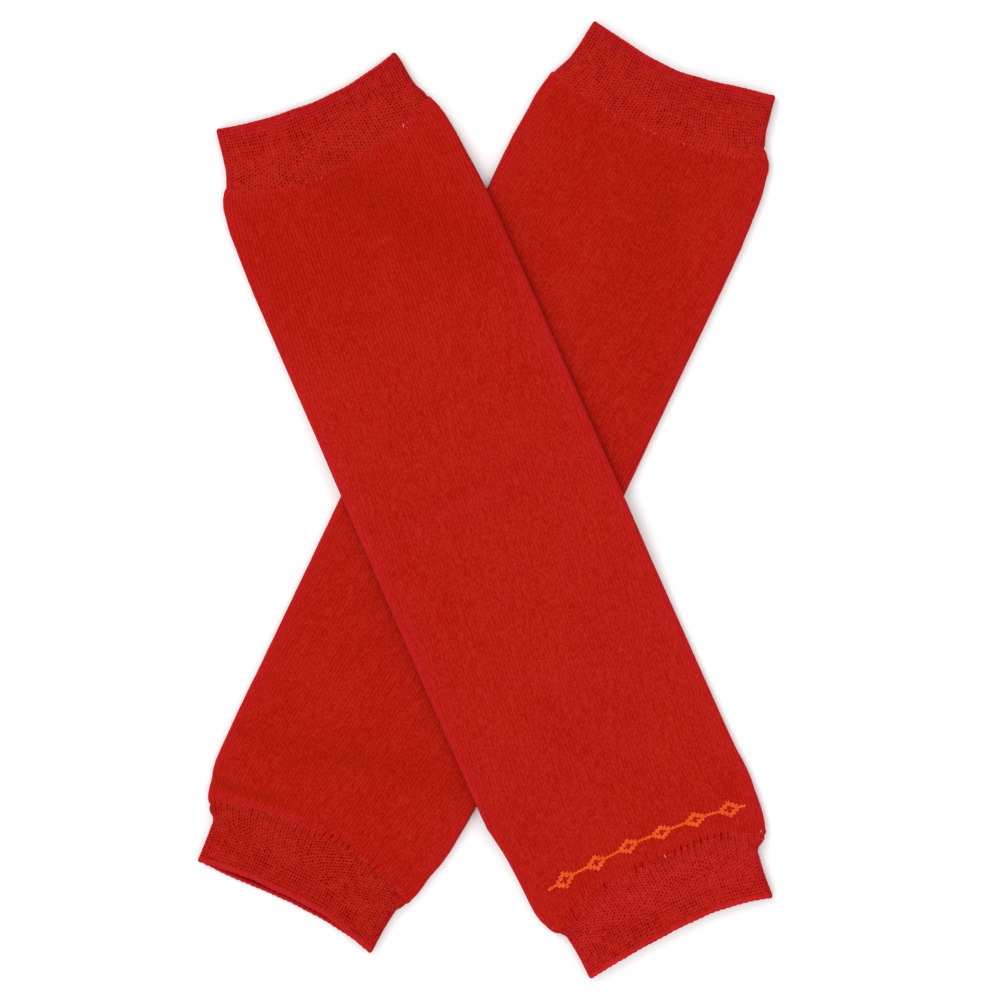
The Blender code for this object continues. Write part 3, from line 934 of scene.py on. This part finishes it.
CUFF_SEEDS = {"over_top": 307, "over_bottom": 300, "under_top": 407, "under_bottom": 400}
for warmer in (OVER, UNDER):
    for end in ("top", "bottom"):
        key = f"{warmer['name']}_{end}"
        top = end == "top"
        rows = cuff_rows(HOLES[key])
        rows = rows if top else 1.0 - rows[::-1]
        profile = wall_profile(rows, 13 if key == "under_bottom" else 9, CUFF_WALL,
                               (MOUTH_LIP, SEAM_LIP) if top else (SEAM_LIP, MOUTH_LIP), -1.0 if top else 1.0)
        knit_tube(key + "_cuff_knit", cuff_tube(warmer, end), profile, rows.size,
                               mesh_relief(key, CUFF_SEEDS[key], HOLES[key]), cuff_knit)

# %% [markdown]
# ## Loops of yarn
#
# The linking of a seam, the coloured stitches of the border and the odd bit of pale elastic are all
# short fat bits of yarn that lie on the knit. Each is a grain: a long ellipsoid, laid on the cloth by
# the same function that lays the tubes. Hundreds of them are worked out as one array and joined in one
# mesh, because that is quicker and lighter than hundreds of objects.

# %% Grains of yarn
GRAIN_RINGS, GRAIN_SIDES = 5, 6


def grain_faces(count):
    """Faces of many grains, each with a pole, its rings and another pole, fans at the poles."""
    j = np.arange(GRAIN_SIDES)
    k = (j + 1) % GRAIN_SIDES
    last = 1 + (GRAIN_RINGS - 1) * GRAIN_SIDES
    start = 1 + GRAIN_SIDES * np.arange(GRAIN_RINGS - 1)[:, None]
    sides = np.stack((start + j, start + k, start + GRAIN_SIDES + k, start + GRAIN_SIDES + j), axis=-1)
    sides = sides.reshape(-1, 4)
    fans = np.concatenate((np.stack((0 * j, 1 + k, 1 + j), axis=1),
                           np.stack((last + GRAIN_SIDES + 0 * j, last + j, last + k), axis=1)))
    shift = (np.arange(count) * (GRAIN_RINGS * GRAIN_SIDES + 2))[:, None, None]
    return [(sides + shift).reshape(-1, 4), (fans + shift).reshape(-1, 3)]


def lay_grains(name, tube, around, share, length, radius, slant, out, material):
    """Grains of yarn on a tube. A point's way along the grain is its length times the sine of a
    latitude; its way round it is its radius times the cosine, sideways and outwards."""
    latitude = np.radians(np.linspace(-90, 90, GRAIN_RINGS + 2))[1:-1]
    latitude, turn = np.meshgrid(latitude, 2.0 * np.pi * np.arange(GRAIN_SIDES) / GRAIN_SIDES, indexing="ij")
    latitude = np.concatenate(([-np.pi / 2], latitude.ravel(), [np.pi / 2]))
    turn = np.concatenate(([0.0], turn.ravel(), [0.0]))
    given = np.broadcast_arrays(around, share, length, radius, slant, out)
    around, share, length, radius, slant, out = (np.asarray(a, dtype=float)[:, None] for a in given)
    along = length / 2.0 * np.sin(latitude)
    beside = radius * np.cos(latitude) * np.cos(turn)
    rise = radius * np.cos(latitude) * np.sin(turn)
    c, s = np.cos(slant), np.sin(slant)
    round_length = 4.0 * USUAL_HALF_WIDTH
    points = lay_tube(tube, around + (along * s + beside * c) / round_length, share,
                      along * c - beside * s, out + rise).reshape(-1, 3)
    faces = grain_faces(around.shape[0])
    if signed_volume(points, faces) < 0:
        faces = [part[:, ::-1] for part in faces]
    return mesh_piece(name, points, faces, material)


print("a grain has", GRAIN_RINGS * GRAIN_SIDES + 2, "points")

# %% [markdown]
# ### The linked seams
#
# On the real warmers a linking machine joins cuff and leg stitch by stitch. What shows is a row of
# small slanting loops, one for each wale, with a dark gap here and there where two loops stand apart.
# At the top seams, the under warmer's above all, the loops look paler than the knit.

# %% Seam loops
def yarn_material(name, colours):
    """Plain yarn: a fine twist of light and dark along Object space, and soft fibre noise."""
    material, shader = new_material(name, colours["red"], 0.95, 0.08)
    g = Graph(material)
    place = g.nodes.new("ShaderNodeTexCoord").outputs["Object"]
    speckle = g.weighted((g.noise(place, 1500.0, 2.0), 0.6), (g.noise(place, 260.0, 2.0), 0.6))
    colour = g.mix(g.ramp(speckle, 0.42, 0.80), (*colours["red"], 1.0), (*colours["light"], 1.0))
    # The seam loops' painted sheen and painted light, and their paler yarn.
    if "fold" in colours:
        colour = g.mix(g.number("fold"), colour, (*colours["fold"], 1.0))
    g.feed(shader.inputs["Base Color"], colour)
    g.feed(shader.inputs["Normal"], g.bump(speckle, 0.12 * MM, 0.5))
    return material


PALER_LOOPS = {"over_top": 0.35, "over_bottom": 0.0, "under_top": 0.80, "under_bottom": 0.15}
seam_yarn = yarn_material("seam_yarn", LEG_COLOURS)
for warmer in (OVER, UNDER):
    for end, edge, seed in (("top", 0.0, 51), ("bottom", 1.0, 52)):
        rng = np.random.default_rng(seed + (7 if warmer["climbs"] else 0))
        number = np.arange(WALES)
        before, after = (loops_apart(warmer["name"], number + k) * edge for k in (0, 1))
        around = (number + 0.5 + 0.15 * (before - after) + 0.10 * rng.uniform(-1, 1, WALES)) / WALES
        radius = (0.70 + 0.05 * rng.uniform(-1, 1, WALES)) * (1.0 - 0.30 * (before + after))
        length = 2.20 + 0.40 * rng.uniform(-1, 1, WALES)
        place = edge + (0.15 * (2.0 * edge - 1.0) + 0.30 * rng.uniform(-1, 1, WALES)) / LEG_LENGTH
        slant = np.radians(SEAM_SLANT + 9.0 * rng.uniform(-1, 1, WALES))
        slant = slant * (1.0 if end == "bottom" else -1.0)
        loops = lay_grains(f"{warmer['name']}_{end}_seam_loops", leg_tubes[warmer["name"]], around,
                           place, length, radius, slant, -0.50 + 0.05 * rng.uniform(-1, 1, WALES),
                           seam_yarn)
        # The loops take the folds' painted sheen and the clouds' painted light, and some are paler.
        fold_sheen, light_and_shade = light_and_shade_at(leg_tubes[warmer["name"]], around, place)
        paler = PALER_LOOPS[f"{warmer['name']}_{end}"] * rng.uniform(0.2, 1.0, WALES)
        crimson = np.clip(fold_sheen - np.minimum(light_and_shade, 0.0) + paler, 0.0, 1.0)
        add_number(loops, "fold", np.repeat(crimson, GRAIN_RINGS * GRAIN_SIDES + 2))

# %% [markdown]
# ### The knitted-in border
#
# Just above the over warmer's bottom cuff a small orange pattern is knitted in. A knitter works it
# from a chart: each marked square is one V in orange yarn. This one is six small open diamonds joined
# in a chain. The stitches could be painted on the cloth, but orange yarn lies proud of the red where
# the colours change, so each V is two short grains on its own wale.

# %% The orange border
BORDER_ORANGE = {"red": (0.61, 0.059, 0.0080), "light": (0.78, 0.122, 0.021)}
BORDER_CHART = (
    ".....o....",
    "....ooo...",
    "...oo.oo..",
    "oooo...ooo",
    "...oo.oo..",
    "....ooo...",
    ".....o....",
)
BORDER_REPEATS = 6
BORDER_MIDDLE_WALE = 35.0
BORDER_LINES = table("across top bottom", ((-40, 268.6, 275.0), (-24, 266.6, 271.9), (0, 265.6, 270.0),
                                           (24, 266.5, 271.4), (40, 268.4, 274.6)))


def share_at(tube, around, down):
    """The share of the way down a tube at which a distance down lies."""
    first, last, across = tube_edges(tube, around)
    return (down - first) / (last - first)


marks = np.array([[mark == "o" for mark in line * BORDER_REPEATS] for line in BORDER_CHART])
course, column = np.nonzero(marks)
wale = BORDER_MIDDLE_WALE + marks.shape[1] / 2.0 - 0.5 - column
rng = np.random.default_rng(77)
leg = leg_tubes["over"]
side = np.tile((-1.0, 1.0), wale.size)
wale, course = np.repeat(wale, 2), np.repeat(course, 2)
x = (WALES / 4 - wale) * WALE_WIDTH
top, bottom = (np.interp(x, BORDER_LINES["across"], BORDER_LINES[key]) for key in ("top", "bottom"))
down = top + (bottom - top) * (course + 0.5) / len(BORDER_CHART)
share = share_at(leg, (wale + 0.5) / WALES, down)
stray = wander(LEG_SEEDS["over"] + 2, wale + 0.5, share)
around = (wale + 0.5 + stray + side * 0.24) / WALES
border_yarn = yarn_material("border_yarn", BORDER_ORANGE)
lay_grains("over_leg_border", leg, around, share, 1.10 + 0.15 * rng.uniform(-1, 1, wale.size),
           0.33 + 0.04 * rng.uniform(-1, 1, wale.size), np.radians(-24.0) * side,
           -0.05 + 0.04 * rng.uniform(-1, 1, wale.size), border_yarn)
print(wale.size // 2, "orange stitches")

# %% [markdown]
# ### Bits of pale elastic
#
# A thin elastic thread runs in the linking, and here and there a bit of it shows against the red:
# bare and almost pink, or dyed and only a little paler than the knit. They are few and tiny, so
# their places are written down one by one.

# %% Pale bits
BARE = {"red": (0.78, 0.11, 0.12), "light": (0.86, 0.20, 0.21)}
DYED = {"red": (0.56, 0.036, 0.033), "light": (0.66, 0.065, 0.060)}
PALE_COLUMNS = "across down length radius slant"
PALE_OUT = 0.22
PALE_BITS = {
    "bare": ("over", BARE, table(PALE_COLUMNS, (
        (25.3, 20.4, 1.4, 0.19, 25), (7.0, 275.8, 1.5, 0.17, -6), (39.3, 281.0, 1.0, 0.14, 30),
        (38.7, 284.0, 0.9, 0.15, -40)))),
    "over": ("over", DYED, table(PALE_COLUMNS, (
        (26.1, 21.6, 0.9, 0.15, -20), (-8.1, 24.9, 1.0, 0.20, 10), (-6.3, 25.4, 1.1, 0.21, 30),
        (-11.5, 24.6, 0.8, 0.18, -30), (8.4, 276.1, 1.0, 0.17, 12), (-36.4, 282.6, 0.9, 0.15, 50),
        (-21.6, 276.8, 0.9, 0.18, 10), (-1.8, 276.6, 0.8, 0.14, 20), (14.2, 276.0, 0.8, 0.14, -10)))),
    "under": ("under", DYED, table(PALE_COLUMNS, (
        (-17.4, 22.6, 1.2, 0.21, 15), (-14.0, 23.2, 1.0, 0.17, -20), (0.4, 23.0, 1.1, 0.18, 20),
        (-3.6, 23.1, 0.9, 0.17, -10), (10.6, 21.9, 1.2, 0.20, -18), (27.4, 18.9, 1.1, 0.17, 12),
        (36.0, 14.4, 1.0, 0.16, 40), (24.0, 282.9, 0.9, 0.13, -20)))),
}
for name, (worn, colours, rows) in PALE_BITS.items():
    warmer, tube = {"over": OVER, "under": UNDER}[worn], leg_tubes[worn]
    middle, half = outline_at(warmer, rows["down"])
    flat_half, quarter = half - leg_fold, math.pi * leg_fold / 2.0
    around = (quarter + flat_half * (1.0 - (rows["across"] - middle) / flat_half)) / (
        4.0 * flat_half + 4.0 * quarter)
    lay_grains(name + "_pale_bits", tube, around, share_at(tube, around, rows["down"]), rows["length"],
               rows["radius"], np.radians(rows["slant"]), PALE_OUT,
               yarn_material(name + "_elastic", colours))

# %% [markdown]
# ## The stage
#
# A plain pale floor and soft light, as in a product photo: two lamps at the left, a weak one at the
# right, and a bright pale world to fill the shadows. The camera looks straight down.

# %% Camera, light and floor
FRAME_WIDTH = 330.0
FRAME_CENTRE_X = 4.455
LENS = 100.0
SENSOR = 36.0
CLOTH_TOP = 3.0

camera_data = bpy.data.cameras.new("camera")
camera_data.lens = LENS
camera_data.sensor_width = SENSOR
camera = bpy.data.objects.new("camera", camera_data)
camera.location = (FRAME_CENTRE_X * MM, 0.0, (FRAME_WIDTH * LENS / SENSOR + CLOTH_TOP) * MM)
bpy.context.scene.collection.objects.link(camera)
bpy.context.scene.camera = camera

bpy.ops.mesh.primitive_plane_add(size=6.0, location=(0.0, 0.0, -0.0001))
floor = bpy.context.object
floor.name = "floor"
floor_material = bpy.data.materials.new("floor")
floor_material.use_nodes = True
floor_shader = floor_material.node_tree.nodes["Principled BSDF"]
floor_shader.inputs["Base Color"].default_value = (0.84, 0.84, 0.84, 1.0)
floor_shader.inputs["Roughness"].default_value = 0.9
floor_shader.inputs["Specular IOR Level"].default_value = 0.1
floor.data.materials.append(floor_material)


def soft_light(name, place, size, power):
    """A square area light that faces the middle of the pair."""
    data = bpy.data.lights.new(name, "AREA")
    data.shape = "SQUARE"
    data.size = size
    data.energy = power
    light = bpy.data.objects.new(name, data)
    light.location = place
    bpy.context.scene.collection.objects.link(light)
    x, y, z = place
    light.rotation_euler = (math.atan2(math.hypot(x, y), z), 0.0, math.atan2(x, -y))


soft_light("upper_left_light", (-0.85, 0.75, 1.0), 0.7, 7.2)
soft_light("lower_left_light", (-0.75, -0.85, 1.1), 0.9, 5.8)
soft_light("right_light", (0.95, -0.10, 0.8), 0.9, 2.4)
world = bpy.data.worlds.new("world")
world.use_nodes = True
world.node_tree.nodes["Background"].inputs["Color"].default_value = (1.0, 1.0, 1.0, 1.0)
world.node_tree.nodes["Background"].inputs["Strength"].default_value = 0.95
bpy.context.scene.world = world
bpy.context.scene.view_settings.view_transform = "Standard"
print("the camera is", round(camera.location.z, 3), "m above the cloth")
